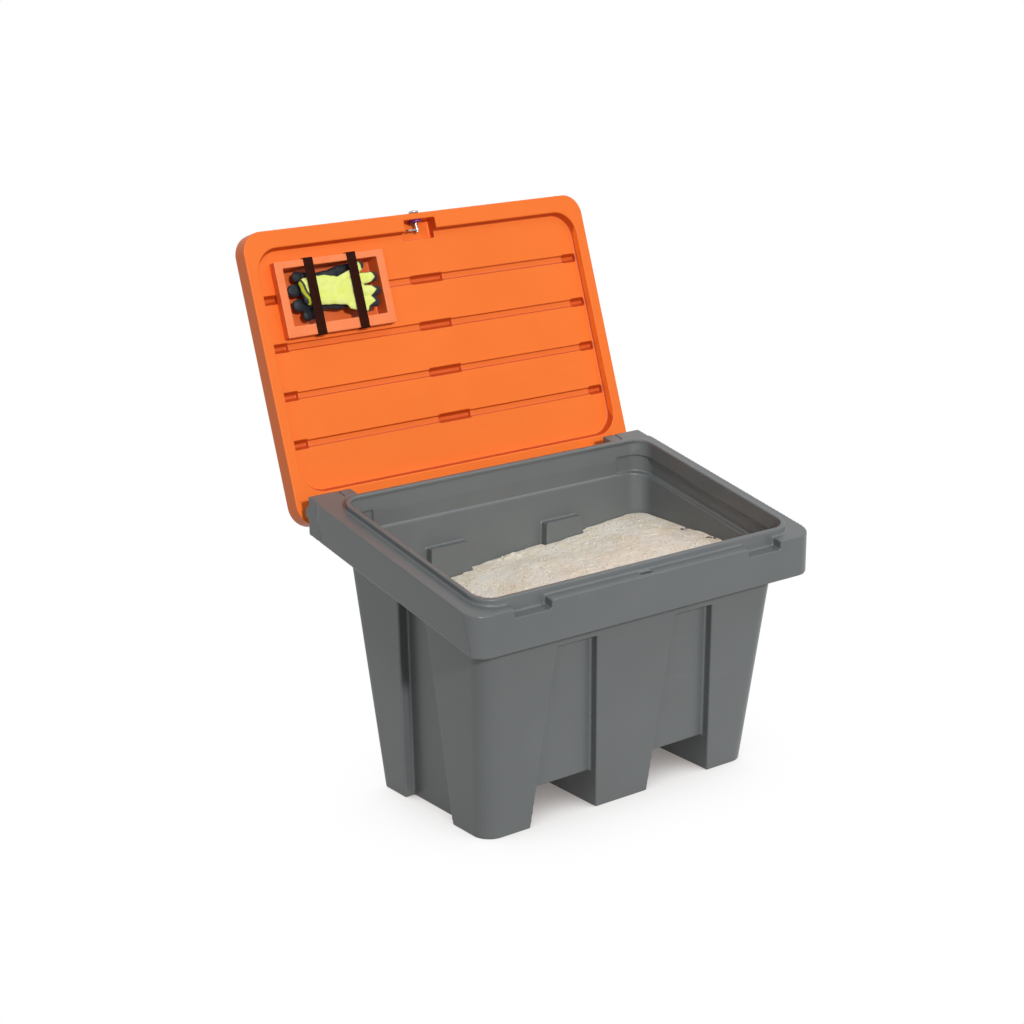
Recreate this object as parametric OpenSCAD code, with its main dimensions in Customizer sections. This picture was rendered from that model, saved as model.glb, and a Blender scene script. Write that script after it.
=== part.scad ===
// Grit salt bin: a moulded bin on three runners, with a sloping rim, a
// double-walled lid that leans back open, and a glove tray in the lid.
// X runs to the right along the front, the front faces -Y and Z is up.
// The origin is on the floor at the centre of the footprint.

/* [Bin body] */
// Distance of the foot inside the rim at each side
foot_in_side = 105; // [90:1:125]
// Distance of the foot inside the rim at the front and rear
foot_in_end = 100.5; // [88:0.5:110]
// Lean of the two side walls, in degrees
side_lean = 4.7; // [3:0.1:5.2]
// Lean of the front and rear walls, in degrees
end_lean = 5.9; // [4:0.1:6.2]
// Wall of the bin moulding
wall = 6; // [5:0.5:8]
// Rounding of the two front corners
front_r = 45; // [30:1:60]
// Rounding of the two rear corners
rear_r = 20; // [14:1:40]
// Rounding of the corners inside the bin
cavity_r = 42; // [20:1:60]

/* [Runners and pockets] */
// Width of the middle runner on the floor
mid_runner_w = 154; // [130:1:175]
// Width of a fork pocket on the floor
pocket_w = 190; // [170:1:205]
// Height of a fork pocket
pocket_h = 90; // [70:1:110]
// Narrowing of the pockets and panels upward, in degrees
pocket_flare = 5; // [3:0.1:6]
// Depth of the sunk panel over each pocket
panel_d = 22; // [14:1:28]
// Height of the top of the front panels
panel_top = 442; // [400:1:450]
// Width of the recess in each side, on the floor
bay_w = 190; // [150:1:210]
// Distance of the side recess behind the middle
bay_shift = 15; // [0:1:25]
// Depth of the side recess
bay_d = 26; // [16:1:32]
// Height of the top of the side recess
bay_top = 505; // [460:1:515]

/* [Rim] */
// Width of the rim
rim_w = 1000; // [980:1:1040]
// Depth of the rim
rim_d = 603; // [590:1:630]
// Height of the rim's top over the middle of the floor
rim_h = 632; // [620:1:660]
// Rise of the rim to the rear, in degrees
rim_tilt = 10.7; // [9:0.1:12]
// Height of the skirt that hangs from the rim
skirt_h = 95; // [80:1:105]
// Inward lean of the skirt's two ends at its foot
skirt_draft = 10; // [6:0.5:12]
// Rounding of the rim's front corners
rim_front_r = 48; // [30:1:60]
// Rounding of the rim's rear corners
rim_rear_r = 18; // [12:1:30]
// Flat ledge outside the lip at each side
ledge_side = 42; // [36:1:48]
// Flat ledge outside the lip at the front and rear
ledge_end = 27; // [22:1:30]
// Thickness of the raised lip
lip_t = 12.5; // [10:0.5:14]
// Height of the raised lip
lip_h = 15; // [10:0.5:16]
// Rounding of the lip's corners
lip_r = 52; // [40:1:60]
// Depth of the upper inner wall below the rim
liner_h = 26; // [20:1:32]
// Height of the band that is set back below it
band_h = 42; // [34:1:46]
// Set-back of the band
band_step = 6; // [4:0.5:7]
// Half width of the plate across the rear of the band
plate_half_w = 366; // [300:1:380]
// Width of each finger notch in the rim's front edge
notch_w = 100; // [80:1:120]
// Distance of each notch's middle inside the rim's side
notch_in = 162; // [150:1:200]
// Depth of each notch
notch_h = 20; // [14:1:26]
// Length of the lock's slot in the front ledge
slot_l = 34; // [33:1:40]
// Width of the lock's slot
slot_w = 8; // [7:0.5:10]

/* [Hinge] */
// Distance of the hinge axis behind the rim, along the slope
hinge_back = 30.5; // [29.5:0.5:31.5]
// Depth of the hinge axis below the rim's top
hinge_drop = 39.5; // [38:0.5:41]
// Diameter of the hinge pins
pin_d = 12; // [10:0.5:14]
// Radius of the bosses round the pins
boss_r = 16; // [13:0.5:18]
// Width of each corner block
block_w = 79; // [70:1:84]
// Distance of each block's outer face inside the rim's side
block_inset = 5; // [3:0.5:8]
// Distance that the blocks stand behind the rim
block_out = 34; // [30:0.5:38]
// Height of each corner block
block_h = 90; // [84:1:94]
// Width of each hinge bracket beside its block
bracket_w = 34; // [28:1:40]
// Height of each hinge bracket
bracket_h = 52; // [46:1:60]
// Width of each lug on the lid
lug_w = 30; // [24:1:36]
// Radius of each lug on the lid
lug_r = 14; // [12:0.5:16]
// Wall of the bush in each lug
bush_t = 2.5; // [2:0.5:3]
// Width of the pad on each block that stops the lid
pad_w = 40; // [30:1:50]
// Depth of each pad
pad_d = 10.5; // [8:0.5:12]
// Angle that the lid opens from closed, in degrees
lid_open = 120; // [118:0.5:121]

/* [Lid] */
// Distance of each side of the lid inside the rim's side
lid_inset = 0; // [-2:0.5:5]
// Distance that the lid's front edge passes the rim's
lid_front_out = 27; // [26.5:0.5:28.5]
// Reach of the lid behind the hinge axis
lid_tail = 32; // [28:1:34]
// Thickness of the lid
lid_t = 48; // [46:1:52]
// Wall of the lid's two skins
lid_wall = 5; // [4:0.5:6]
// Rounding of the lid's corners in plan
lid_r = 52; // [40:1:60]
// Slope taken off the lid's top edges
lid_edge = 6; // [4:0.5:8]
// Border of the underside at the two sides
border_side = 28; // [24:1:30]
// Border of the underside at the front
border_front = 41; // [40:0.5:43]
// Border of the underside at the rear
border_rear = 74; // [73:0.5:75]
// Depth of the sunk panel in the underside
sunk_d = 18; // [17:0.5:20]
// Inward slope of the sunk panel's walls
sunk_slope = 5; // [3:0.5:6]
// Rounding of the sunk panel's corners
sunk_r = 60; // [50:1:70]
// Number of cross grooves
groove_count = 4; // [3:1:4]
// Distance of the last groove from the sunk panel's rear wall
groove_rear = 117; // [113:1:121]
// Distance of the first groove from the sunk panel's front wall
groove_front = 118.5; // [115:0.5:122]
// Width of a cross groove
groove_w = 16; // [12:1:20]
// Depth of a cross groove
groove_d = 4; // [3:0.5:6]
// Width of the deep pockets in each groove
kiss_w = 22; // [20:1:26]
// Depth of the deep pockets below the sunk panel
kiss_d = 12; // [8:0.5:14]
// Length of the middle pocket of each groove
kiss_mid_l = 94; // [80:1:104]
// Length of the end pockets of each groove
kiss_end_l = 40; // [30:1:46]

/* [Glove tray] */
// Length of the tray
tray_l = 304; // [290:1:310]
// Width of the tray
tray_w = 179; // [172:1:182]
// Distance of the tray inside the sunk panel's side wall
tray_gap = 43; // [38:1:48]
// Distance of the tray inside the sunk panel's front wall
tray_front = 35; // [33:1:37]
// Width of the tray's rim
tray_rim = 21; // [18:0.5:24]
// Distance of the tray's hollow above the tray's middle
basin_up = 4.5; // [0:0.5:6]
// Height that the tray's rim stands out of the lid
tray_proud = 3; // [2:0.5:5]
// Wall of the tray
tray_wall = 3; // [2.5:0.5:4]
// Width of a rubber strap
strap_w = 25; // [20:1:30]
// Thickness of a rubber strap
strap_t = 2.5; // [2:0.25:3.5]
// Distance of each strap from the tray's middle
strap_x = 60; // [50:1:70]
// Length of a strap's ends down the tray's sides
strap_end = 12; // [8:1:15]

/* [Gloves] */
// Length of a glove
glove_l = 205; // [190:1:215]
// Width of a glove's palm
glove_w = 76; // [70:1:82]
// Thickness of a glove
glove_t = 14; // [12:0.5:15]
// Diameter of a glove's finger
finger_d = 19; // [16:0.5:20]
// Distance of each glove from the tray's middle, toward its fingertips
glove_shift = 17; // [10:1:19]

/* [Lock] */
// Width of the lock's pocket in the lid
niche_w = 92; // [86:1:98]
// Length of the lock's pocket
niche_l = 47; // [44:1:50]
// Depth of the lock's pocket
niche_d = 36; // [34:0.5:37]
// Thickness of the pocket's floor
niche_floor = 3; // [2:0.5:4]
// Distance of the pocket's front wall behind the lid's front edge
niche_front = 15; // [14:1:16]
// Depth of the lock's axis in the lid
lock_depth = 19; // [19:0.5:20]
// Diameter of the lock's head
lock_head_d = 24; // [20:1:28]
// Height of the lock's head
lock_head_h = 8; // [5:0.5:10]
// Diameter of the lock's barrel
lock_barrel_d = 20; // [18:1:22]
// Diameter of the lock's cap
lock_cap_d = 32; // [28:1:34]
// Height of the lock's cap
lock_cap_h = 6; // [4:0.5:7]
// Diameter of the lock's shaft
lock_shaft_d = 7; // [6:0.5:7.5]
// Length of the shaft behind the cap
lock_shaft_l = 23.5; // [23:0.5:24]
// Depth that the lever's toe reaches below the ledge
toe_reach = 11.5; // [11:0.5:13]
// Height of the lever's toe
toe_h = 4; // [3:0.5:4.5]
// Length of the lever's toe
toe_l = 6; // [5:0.5:7]
// Width of the lever
lever_w = 6; // [5:0.5:7]
// Thickness of the lever
lever_t = 3; // [2:0.5:4]

/* [Grit] */
// Height of the heap at the left wall
heap_left = 440; // [380:1:460]
// Height of the heap's ridge
heap_ridge = 518; // [470:1:530]

/* [Hidden] */

// Overrun of the cuts
over = 1;
// Fit of a turning bush on its pin
turn_fit = 0.05;
// Gap between pieces that lie side by side
side_gap = 2;
// Gap between the lid and what stops it
stop_gap = 0.6;
// Gap between the grit and the bin
grit_gap = 1;
// Gap round soft pieces
soft_gap = 0.5;
// Thickness of the slices that a hull joins
slice = 0.2;

// Share of a block's width that its pin reaches into
pin_share = 0.4;
// Share of a glove's length that is palm
palm_share = 0.42;
// Width of a glove's cuff, as a share of the palm's
cuff_share = 0.72;
// Width of a fingertip, as a share of the finger's
tip_share = 0.85;
// Spread of the fingertips, as a share of the knuckles'
fan_share = 1.1;
// Reach of the thumb, as a share of the palm's length
thumb_share = 1.25;

// Points of the heap: shares of the half width and half depth, and of the rise
heap_shares = [[-1, -1, 0], [-1, 1, 0.05], [-0.3, 1, 0.28], [-0.3, 0, 0.5], [0, -1, 0.35],
  [0.3, 1, 0.48], [0.55, 0, 0.98], [1, 1, 0.95], [1, 0.1, 0.93], [1, -1, 0.8]];

foot_w = rim_w - 2 * foot_in_side;
foot_d = rim_d - 2 * foot_in_end;
lid_w = rim_w - 2 * lid_inset;
hinge_s = rim_d / 2 + hinge_back;
lid_reach = hinge_s + rim_d / 2 + lid_front_out;
notch_x = rim_w / 2 - notch_in;
body_top = rim_h + rim_d / 2 * tan(rim_tilt);
reach = rim_w + rim_d;
shelf_n = liner_h + band_h;
lip_out_x = rim_w / 2 - ledge_side;
lip_out_y = rim_d / 2 - ledge_end;
lip_in_x = lip_out_x - lip_t;
lip_in_y = lip_out_y - lip_t;
lip_in_r = lip_r - lip_t;
band_x = lip_in_x + band_step;
band_y = lip_in_y + band_step;
band_r = lip_in_r + band_step;
panel_rise = 2 * half_d(panel_top) * tan(rim_tilt);
block_x = rim_w / 2 - block_inset - block_w;
bracket_x = block_x - side_gap - bracket_w;
lug_x = bracket_x - side_gap - lug_w;
pin_in_block = block_w * pin_share;
under = hinge_drop + stop_gap;
lid_front = -lid_reach;
sunk_front = lid_front + border_front;
sunk_rear = lid_tail - border_rear;
sunk_half_w = lid_w / 2 - border_side;
groove_first = groove_rear - sunk_rear;
groove_pitch = (-sunk_front - groove_front - groove_first) / (groove_count - 1);
niche_y = lid_front + niche_front;
lock_z = under + lock_depth;
skin_gap = lid_t - lid_wall;
basin_l = tray_l - 2 * tray_rim;
basin_w = tray_w - 2 * tray_rim;
basin_d = skin_gap + tray_proud - tray_wall;
tray_top = under - tray_proud;
tray_x = sunk_half_w - tray_gap - tray_l / 2;
tray_y = -sunk_front - tray_front - tray_w / 2;
slot_y = (hinge_s - lever_y()) * cos(rim_tilt);

function half_w(z) = foot_w / 2 + z * tan(side_lean);
function half_d(z) = foot_d / 2 + z * tan(end_lean);
function runner_x(z) = mid_runner_w / 2 + z * tan(pocket_flare);
function pocket_x(z) = mid_runner_w / 2 + pocket_w - z * tan(pocket_flare);
function lever_y() = lid_reach - niche_front - lock_cap_h - lock_shaft_l + 2 * lever_t;

// Turns the model frame to the sloping rim: the rim's top lies at z = 0
module on_rim() {
  translate([0, 0, rim_h]) rotate([rim_tilt, 0, 0]) children();
}

// Frame of the lid as it stands open: the hinge axis is the origin, the
// lid runs to -Y and its underside faces -Z
module in_lid() {
  on_rim() translate([0, hinge_s, -hinge_drop]) rotate([-lid_open, 0, 0]) children();
}

module rounded_plan(hw, hd, rf, rr) {
  translate([-hw, rf - hd]) square([2 * hw, 2 * hd - rf - rr]);
  translate([rf - hw, -hd]) square([2 * (hw - rf), rf + over]);
  translate([rr - hw, hd - rr - over]) square([2 * (hw - rr), rr + over]);
  for (side = [-1, 1]) {
    translate([side * (hw - rf), rf - hd]) circle(rf, $fn = 64);
    translate([side * (hw - rr), hd - rr]) circle(rr, $fn = 64);
  }
}

// Upright prism between two levels of the sloping rim
module rim_prism(low, high) {
  intersection() {
    linear_extrude(body_top + rim_d) children();
    on_rim() translate([-reach, -reach, low]) cube([2 * reach, 2 * reach, high - low]);
  }
}

// Tapered block with the bin's lean, its walls moved in by inset
module tapered(low, high, inset, rf, rr) {
  hull() for (z = [low, high - slice], side = [-1, 1]) {
    translate([side * (half_w(z) - inset - rf), rf + inset - half_d(z), z])
      cylinder(h = slice, r = rf, $fn = 32);
    translate([side * (half_w(z) - inset - rr), half_d(z) - inset - rr, z])
      cylinder(h = slice, r = rr, $fn = 32);
  }
}

module pocket_outline(low, high, grow) {
  polygon([[runner_x(low) - grow, low], [pocket_x(low) + grow, low],
    [pocket_x(high) + grow, high + grow], [runner_x(high) - grow, high + grow]]);
}

// Fork pockets through the bin, front to back
module fork_pockets(grow) {
  for (side = [0, 1]) mirror([side, 0, 0])
    translate([0, reach / 2, 0]) rotate([90, 0, 0]) linear_extrude(reach)
      pocket_outline(-over, pocket_h, grow);
}

// Sunk panels over the pockets, square to the leaning wall
module end_panels(top, grow) {
  for (side = [0, 1]) mirror([side, 0, 0])
    translate([0, -foot_d / 2, 0]) rotate([end_lean, 0, 0])
      translate([0, panel_d + grow, 0]) rotate([90, 0, 0]) linear_extrude(panel_d + reach / 2)
        pocket_outline(-over, top, grow);
}

// Recess in each side wall
module side_bays(grow) {
  for (side = [0, 1]) mirror([side, 0, 0])
    translate([-foot_w / 2, bay_shift, 0]) rotate([0, -side_lean, 0])
      translate([-reach / 2, 0, 0]) rotate([90, 0, 90]) linear_extrude(reach / 2 + bay_d + grow)
        polygon([for (p = [[-1, 0], [1, 0], [1, 1], [-1, 1]])
          [p[0] * (bay_w / 2 + grow - p[1] * bay_top * tan(pocket_flare)),
            p[1] * (bay_top + grow + bay_d) - bay_d]]);
}

module wall_shapes(grow) {
  fork_pockets(grow);
  end_panels(panel_top, grow);
  mirror([0, 1, 0]) end_panels(panel_top + panel_rise, grow);
  side_bays(grow);
}

// Space inside the bin, moved in by gap
module cavity(gap) {
  difference() {
    tapered(wall + gap, body_top, wall + gap, cavity_r, cavity_r);
    wall_shapes(wall + gap);
  }
}

module notch_outline(grow) {
  for (side = [-1, 1])
    translate([side * notch_x - notch_w / 2 - grow, -rim_d / 2 - over])
      square([notch_w + 2 * grow, ledge_end + over + grow / 2]);
}

module hinge_bar(x0, width, r) {
  on_rim() translate([x0, hinge_s, -hinge_drop]) rotate([0, 90, 0])
    cylinder(h = width, r = r, $fn = 48);
}

module both_sides() {
  for (side = [0, 1]) mirror([side, 0, 0]) children();
}

// Rim and skirt, moved in by inset, the two ends leaning in toward the foot
module skirt(low, high, inset) {
  intersection() {
    rim_prism(low, high) rounded_plan(rim_w / 2 - inset, rim_d / 2 - inset,
      rim_front_r - inset, rim_rear_r - inset);
    on_rim() translate([0, reach, 0]) rotate([90, 0, 0]) linear_extrude(2 * reach)
      polygon([for (p = [[-1, 0], [-1, 1], [1, 1], [1, 0]])
        [p[0] * (rim_w / 2 - inset - (1 - p[1]) * 2 * skirt_draft), (p[1] - 1) * 2 * skirt_h]]);
  }
}

module rim_solid() {
  difference() {
    skirt(-skirt_h, 0, 0);
    skirt(-skirt_h - over, -wall, wall);
  }
  rim_prism(-shelf_n - wall, 0) rounded_plan(band_x + wall, band_y + wall, band_r + wall,
    band_r + wall);
  rim_prism(-wall, lip_h) rounded_plan(lip_out_x, lip_out_y, lip_r, lip_r);
  rim_prism(-notch_h - wall, 0) intersection() {
    notch_outline(wall);
    rounded_plan(rim_w / 2, rim_d / 2, rim_front_r, rim_rear_r);
  }
}

// Block behind the rim, its top rounded about the hinge axis to clear the lid
module knuckle(x0, width, low, high, front) {
  difference() {
    rim_prism(low, high) translate([x0, front])
      square([width, rim_d / 2 + block_out - front]);
    difference() {
      on_rim() translate([x0 - over, hinge_s, -hinge_drop])
        cube([width + 2 * over, block_out, 2 * hinge_drop]);
      hinge_bar(x0 - 2 * over, width + 4 * over, hinge_drop + high);
    }
  }
  hinge_bar(x0, width, boss_r);
}

// Corner blocks that carry the hinge, with the pads that stop the lid
module hinge_blocks() {
  both_sides() {
    knuckle(block_x, block_w, -block_h, 0, rim_d / 2 - wall);
    in_lid() translate([block_x + (block_w - pad_w) / 2, lid_tail / 2, 0])
      cube([pad_w, pad_d, hinge_drop]);
  }
}

module bin_body() {
  color("dimgray") difference() {
    union() {
      intersection() {
        tapered(0, body_top, 0, front_r, rear_r);
        rim_prism(-body_top - rim_d, -shelf_n) square(2 * reach, center = true);
      }
      rim_solid();
      hinge_blocks();
    }
    cavity(0);
    wall_shapes(0);
    rim_prism(-shelf_n, -liner_h) difference() {
      rounded_plan(band_x, band_y, band_r, band_r);
      translate([-plate_half_w, lip_in_y]) square([2 * plate_half_w, band_step + over]);
    }
    rim_prism(-liner_h - over, lip_h + over) rounded_plan(lip_in_x, lip_in_y, lip_in_r, lip_in_r);
    rim_prism(-notch_h, lip_h) intersection() {
      notch_outline(0);
      translate([-reach, -reach]) square([2 * reach, reach - lip_out_y]);
    }
    rim_prism(-2 * wall, lip_h) translate([lever_w - slot_l, slot_y - slot_w / 2])
      square([slot_l, slot_w]);
    both_sides() hinge_bar(block_x - over, pin_in_block + over, pin_d / 2);
  }
}

// Heap of grit that fills the bin, higher to the right and the rear
module grit_fill() {
  color("wheat") intersection() {
    cavity(grit_gap);
    hull() {
      for (p = heap_shares)
        translate([p[0] * half_w(heap_ridge), p[1] * half_d(heap_ridge), 0])
          linear_extrude(heap_left + p[2] * (heap_ridge - heap_left)) square(slice, center = true);
    }
  }
}

module hinge_bracket(side) {
  color("dimgray") mirror([side, 0, 0]) difference() {
    knuckle(bracket_x, bracket_w, -bracket_h, -stop_gap, rim_d / 2);
    hinge_bar(bracket_x - over, bracket_w + 2 * over, pin_d / 2);
  }
}

module hinge_pin(side) {
  color("silver") mirror([side, 0, 0]) {
    hinge_bar(lug_x - side_gap, block_x + pin_in_block - lug_x + side_gap, pin_d / 2);
    hinge_bar(lug_x - 2 * side_gap - bush_t, side_gap + bush_t, lug_r - bush_t);
  }
}

module hinge_bush(side) {
  color("black") mirror([side, 0, 0]) difference() {
    hinge_bar(lug_x, lug_w, pin_d / 2 + bush_t);
    hinge_bar(lug_x - over, lug_w + 2 * over, pin_d / 2 + turn_fit);
  }
}

// Plan of the lid, from its tail behind the hinge to its front edge
module lid_plan(inset) {
  hd = (lid_reach + lid_tail) / 2;
  translate([0, lid_tail - hd])
    rounded_plan(lid_w / 2 - inset, hd - inset, lid_r - inset, lid_r - inset);
}

module lock_bar(y0, length, d) {
  translate([0, y0, lock_z]) rotate([-90, 0, 0]) cylinder(h = length, d = d, $fn = 48);
}

// Upper skin, with sloping edges
module lid_solid(inset) {
  top = under + lid_t - inset;
  translate([0, 0, under + lid_wall]) linear_extrude(lid_t - lid_wall - inset - lid_edge)
    lid_plan(inset);
  hull() for (side = [-1, 1], y = [lid_front + lid_r, lid_tail - lid_r]) {
    translate([side * (lid_w / 2 - lid_r), y, top - lid_edge - slice])
      cylinder(h = slice, r = lid_r - inset, $fn = 32);
    translate([side * (lid_w / 2 - lid_r), y, top - slice])
      cylinder(h = slice, r = lid_r - inset - lid_edge, $fn = 32);
  }
}

module lid_outer_shell() {
  color("orangered") in_lid() difference() {
    lid_solid(0);
    lid_solid(lid_wall);
    translate([0, 0, under]) linear_extrude(lid_wall + over) lid_plan(lid_wall);
    lock_bar(lid_front - over, niche_front, lock_barrel_d);
  }
}

// Sunk area of the underside: a tapered dish
module sunk_dish(grow) {
  mid = (sunk_front + sunk_rear) / 2;
  hd = (sunk_rear - sunk_front) / 2 + grow;
  hull() for (level = [0, 1])
    translate([0, mid, under - (1 - level) * (grow > 0 ? 0 : over) + level * (sunk_d + grow)])
      linear_extrude(slice) rounded_plan(sunk_half_w + grow - level * sunk_slope,
        hd - level * sunk_slope, sunk_r, sunk_r);
}

module grooves(grow, base) {
  inside = sunk_half_w - sunk_slope - groove_d;
  for (i = [0:groove_count - 1]) translate([0, -groove_first - i * groove_pitch, 0]) {
    translate([-inside, -groove_w / 2 - grow, base])
      cube([2 * inside, groove_w + 2 * grow, under + sunk_d + groove_d + grow - base]);
    for (place = [-1, 0, 1]) {
      kiss_l = place == 0 ? kiss_mid_l : kiss_end_l;
      deep = under + sunk_d + kiss_d + grow;
      translate([place * (inside - kiss_l / 2) - kiss_l / 2 - grow, 0, 0]) rotate([90, 0, 90])
        linear_extrude(kiss_l + 2 * grow)
          polygon([[-kiss_w / 2 - grow, base], [kiss_w / 2 + grow, base],
            [kiss_w / 2 + grow, under + sunk_d], [groove_w / 4 + grow, deep],
            [-groove_w / 4 - grow, deep], [-kiss_w / 2 - grow, under + sunk_d]]);
    }
  }
}

module niche(grow, base, depth) {
  translate([-niche_w / 2 - grow, niche_y - grow, base])
    cube([niche_w + 2 * grow, niche_l + 2 * grow, under + depth - base]);
}

module lug_solid() {
  both_sides() {
    translate([lug_x, 0, 0]) rotate([0, 90, 0]) cylinder(h = lug_w, r = lug_r, $fn = 48);
    translate([lug_x, -lug_r, 0]) cube([lug_w, 2 * lug_r, under + lid_wall / 2]);
  }
}

// Lower skin: border, sunk panel, grooves, lock pocket and hinge lugs
module lid_inner_panel() {
  skin = under + sunk_d + lid_wall / 2;
  color("orangered") in_lid() difference() {
    union() {
      translate([0, 0, under]) linear_extrude(lid_wall) lid_plan(0);
      sunk_dish(lid_wall);
      grooves(lid_wall, skin);
      niche(lid_wall, under, niche_d + niche_floor);
      lug_solid();
    }
    sunk_dish(0);
    grooves(0, under);
    niche(0, under - over, niche_d);
    basin_place() translate([0, 0, skin_gap]) cube([basin_l + 2 * tray_wall + side_gap,
      basin_w + 2 * tray_wall + side_gap, 2 * lid_t], center = true);
    both_sides() translate([lug_x - over, 0, 0]) rotate([0, 90, 0])
      cylinder(h = lug_w + 2 * over, r = pin_d / 2 + bush_t, $fn = 48);
    lock_bar(lid_front - over, niche_front + 2 * over, lock_barrel_d);
  }
}

module tray_place() {
  translate([-tray_x, -tray_y, tray_top]) children();
}

// The tray's hollow sits a little above the tray's middle
module basin_place() {
  tray_place() translate([0, -basin_up, 0]) children();
}

module tray_box(l, w, low, high) {
  translate([-l / 2, -w / 2, low]) cube([l, w, high - low]);
}

module glove_tray() {
  seat = tray_proud + sunk_d;
  color("coral") in_lid() difference() {
    union() {
      tray_place() tray_box(tray_l, tray_w, 0, seat);
      basin_place() tray_box(basin_l + 2 * tray_wall, basin_w + 2 * tray_wall, 0, basin_d + tray_wall);
    }
    basin_place() tray_box(basin_l, basin_w, -over, basin_d);
    difference() {
      tray_place() tray_box(tray_l - 2 * tray_wall, tray_w - 2 * tray_wall, tray_wall, seat + over);
      basin_place() tray_box(basin_l + 2 * tray_wall, basin_w + 2 * tray_wall, 0, seat + 2 * over);
    }
  }
}

// Rubber strap over the tray, its two ends turned down the tray's sides
module strap(side) {
  color("saddlebrown") in_lid() tray_place() translate([side * strap_x, 0, 0]) difference() {
    tray_box(strap_w, tray_w + 2 * strap_t, -strap_t, strap_end);
    tray_box(strap_w + 2 * over, tray_w, 0, strap_end + over);
  }
}

// Glove lying on its back: a palm with four fingers, a thumb and a cuff
module glove(tip) {
  palm_l = glove_l * palm_share;
  spread = glove_w / 4;
  translate([glove_shift - glove_l / 2, 0, 0]) {
    hull() for (x = [0, palm_l], side = [-1, 1])
      translate([x + finger_d / 2, side * (glove_w - finger_d) / 2 * (x > 0 ? 1 : cuff_share), 0])
        sphere(d = finger_d, $fn = 20);
    for (i = [0:3]) hull() {
      translate([palm_l, (i - 1.5) * spread, 0]) sphere(d = finger_d, $fn = 20);
      translate([glove_l - finger_d - abs(i - 1.5) * tip, (i - 1.5) * spread * fan_share, 0])
        sphere(d = finger_d * tip_share, $fn = 20);
    }
    hull() {
      translate([palm_l / 3, glove_w / 3, 0]) sphere(d = finger_d, $fn = 20);
      translate([palm_l * thumb_share, glove_w / 2 + finger_d / 6, 0])
        sphere(d = finger_d * tip_share, $fn = 20);
    }
  }
}

module glove_layer(low) {
  basin_place() intersection() {
    translate([0, 0, low + glove_t / 2]) children();
    tray_box(basin_l - soft_gap, basin_w - soft_gap, low, low + glove_t);
  }
}

module glove_yellow() {
  color("yellow") in_lid() glove_layer(2 * soft_gap) rotate([0, 0, 2]) glove(strap_t);
}

module glove_black() {
  color("black") in_lid() glove_layer(glove_t + 3 * soft_gap) rotate([0, 0, 176])
    glove(strap_end / 2);
}

module lock_barrel() {
  color("silver") in_lid() difference() {
    lock_bar(lid_front, niche_front, lock_barrel_d);
    lock_bar(lid_front - over, niche_front + 2 * over, lock_shaft_d + 2 * turn_fit);
  }
}

module lock_head() {
  color("silver") in_lid() lock_bar(lid_front - lock_head_h, lock_head_h, lock_head_d);
}

module lock_cap() {
  color("purple") in_lid() difference() {
    lock_bar(niche_y, lock_cap_h, lock_cap_d);
    lock_bar(niche_y - over, lock_cap_h + 2 * over, lock_shaft_d + 2 * turn_fit);
  }
}

module lock_shaft() {
  color("silver") in_lid()
    lock_bar(lid_front, niche_front + lock_cap_h + lock_shaft_l, lock_shaft_d);
}

// Lever on the shaft, drawn unlocked: it lies to the left, with its toe down
module lock_lever() {
  arm = lock_depth + stop_gap + toe_reach;
  color("silver") in_lid() translate([0, -lever_y(), lock_z]) difference() {
    union() {
      rotate([90, 0, 0]) cylinder(h = lever_t, r = lock_shaft_d, center = true, $fn = 48);
      translate([-arm, -lever_t / 2, -lever_w / 2]) cube([arm, lever_t, lever_w]);
      translate([-arm, -lever_t / 2, -lever_w / 2 - toe_l]) cube([toe_h, lever_t, toe_l + over]);
    }
    rotate([90, 0, 0]) cylinder(h = 2 * lever_t, d = lock_shaft_d, center = true, $fn = 48);
  }
}

bin_body();
grit_fill();
hinge_bracket(1);  // hinge_bracket_left
hinge_bracket(0);  // hinge_bracket_right
hinge_pin(1);  // hinge_pin_left
hinge_pin(0);  // hinge_pin_right
hinge_bush(1);  // hinge_bush_left
hinge_bush(0);  // hinge_bush_right
lid_outer_shell();
lid_inner_panel();
glove_tray();
strap(-1);  // strap_left
strap(1);  // strap_right
glove_yellow();
glove_black();
lock_barrel();
lock_head();
lock_cap();
lock_shaft();
lock_lever();
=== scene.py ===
# Looks for the grit bin: softened mouldings, gloves, loose grit, the lock and the studio
import math
import random

import bmesh
import bpy
from mathutils import Matrix, Vector, noise


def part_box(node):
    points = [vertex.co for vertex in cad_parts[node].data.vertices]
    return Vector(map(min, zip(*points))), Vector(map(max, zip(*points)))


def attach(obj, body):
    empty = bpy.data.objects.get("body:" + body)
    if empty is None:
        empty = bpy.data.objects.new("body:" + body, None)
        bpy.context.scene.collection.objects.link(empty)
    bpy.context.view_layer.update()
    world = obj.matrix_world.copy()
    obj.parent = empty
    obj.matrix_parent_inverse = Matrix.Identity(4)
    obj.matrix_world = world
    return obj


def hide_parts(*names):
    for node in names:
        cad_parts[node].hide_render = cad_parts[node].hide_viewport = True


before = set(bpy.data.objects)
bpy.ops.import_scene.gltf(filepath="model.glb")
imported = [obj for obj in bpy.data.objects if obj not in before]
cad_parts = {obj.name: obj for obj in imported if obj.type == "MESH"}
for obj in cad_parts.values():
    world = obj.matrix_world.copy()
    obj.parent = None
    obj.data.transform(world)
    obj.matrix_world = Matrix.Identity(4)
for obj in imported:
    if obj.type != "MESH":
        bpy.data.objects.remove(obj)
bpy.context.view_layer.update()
mm = 0.001
random.seed(11)

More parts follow.
